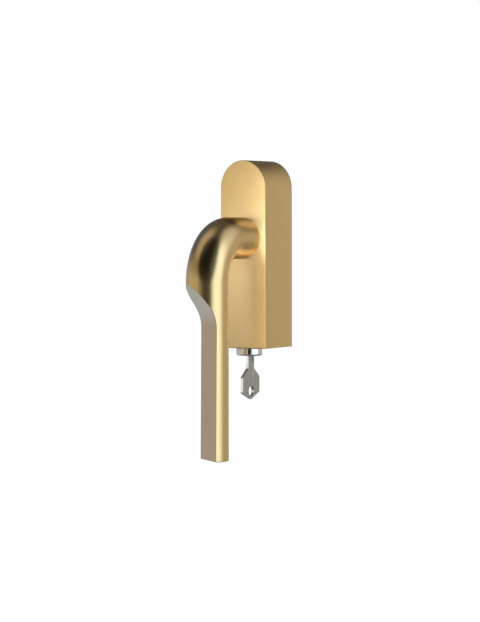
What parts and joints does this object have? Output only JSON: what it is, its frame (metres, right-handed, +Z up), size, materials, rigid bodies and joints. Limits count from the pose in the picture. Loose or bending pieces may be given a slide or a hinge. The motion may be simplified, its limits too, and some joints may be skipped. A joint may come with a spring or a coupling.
{
  "type": "window handle",
  "caption": "Key-lockable window handle: round bent lever with a flat on its grip, on a deep round-headed cover, with a lock cylinder and key under its foot.",
  "frame": {"origin": "where the spindle's axis meets the back face that seats on the sash", "axes": "+Z up the cover, +X to the user's right, +Y from the user into the sash along the spindle"},
  "size_m": [0.0304, 0.1138, 0.1784],
  "materials": {
    "cover_brass": "vertically brushed satin brass, lacquered",
    "lever_brass": "satin brass, lacquered",
    "chrome_rim": "polished chrome",
    "plug_chrome": "satin chrome",
    "key_nickel": "tumbled nickel plate, matt grey",
    "wafer_brass": "stamped brass",
    "steel": "zinc-plated steel",
    "zinc_casting": "plain zinc die casting",
    "black_nylon": "moulded nylon"
  },
  "bodies": {
    "fixed_body": {"cover": "cover_brass", "base_plate": "zinc_casting", "mechanism_housing": "zinc_casting", "neck_bush": "black_nylon", "fixing_screw_upper": "steel", "fixing_screw_lower": "steel", "cover_grub_screw": "steel", "cylinder_grub_screw": "steel", "lock_cylinder": "chrome_rim", "detent_ball_left": "steel", "detent_ball_right": "steel", "detent_spring_left": "steel", "detent_spring_right": "steel", "slide_spring": "steel"},
    "lever_body": {"lever": "lever_brass", "spindle": "steel", "spindle_pin": "steel", "lock_disc": "steel", "detent_disc": "steel", "thrust_washer": "black_nylon", "retaining_clip": "steel"},
    "plug_body": {"lock_plug": "plug_chrome", "wafer_1": "wafer_brass", "wafer_2": "wafer_brass", "wafer_3": "wafer_brass", "wafer_4": "wafer_brass", "wafer_5": "wafer_brass", "plug_clip": "steel", "lock_cam": "steel"},
    "slide_body": {"locking_slide": "steel"},
    "key_body": {"key": "key_nickel"}
  },
  "joints": [
    {"name": "lever_turn", "type": "hinge", "parent": "fixed_body", "child": "lever_body", "pos_m": [0, 0, 0], "axis": [0, 1, 0], "range_deg": [0, 180]},
    {"name": "plug_turn", "type": "hinge", "parent": "fixed_body", "child": "plug_body", "pos_m": [0, -0.0276, -0.0716], "axis": [0, 0, 1], "range_deg": [0, 90]},
    {"name": "slide_lift", "type": "slide", "parent": "fixed_body", "child": "slide_body", "axis": [0, 0, 1], "range_m": [0, 0.0034], "deforming": ["slide_spring"]},
    {"name": "key_withdraw", "type": "slide", "parent": "plug_body", "child": "key_body", "axis": [0, 0, -1], "range_m": [0, 0.03]}
  ],
  "couplings": [
    {"joint": "slide_lift", "follows": "plug_turn", "m_per_rad": 0.0021645}
  ]
}
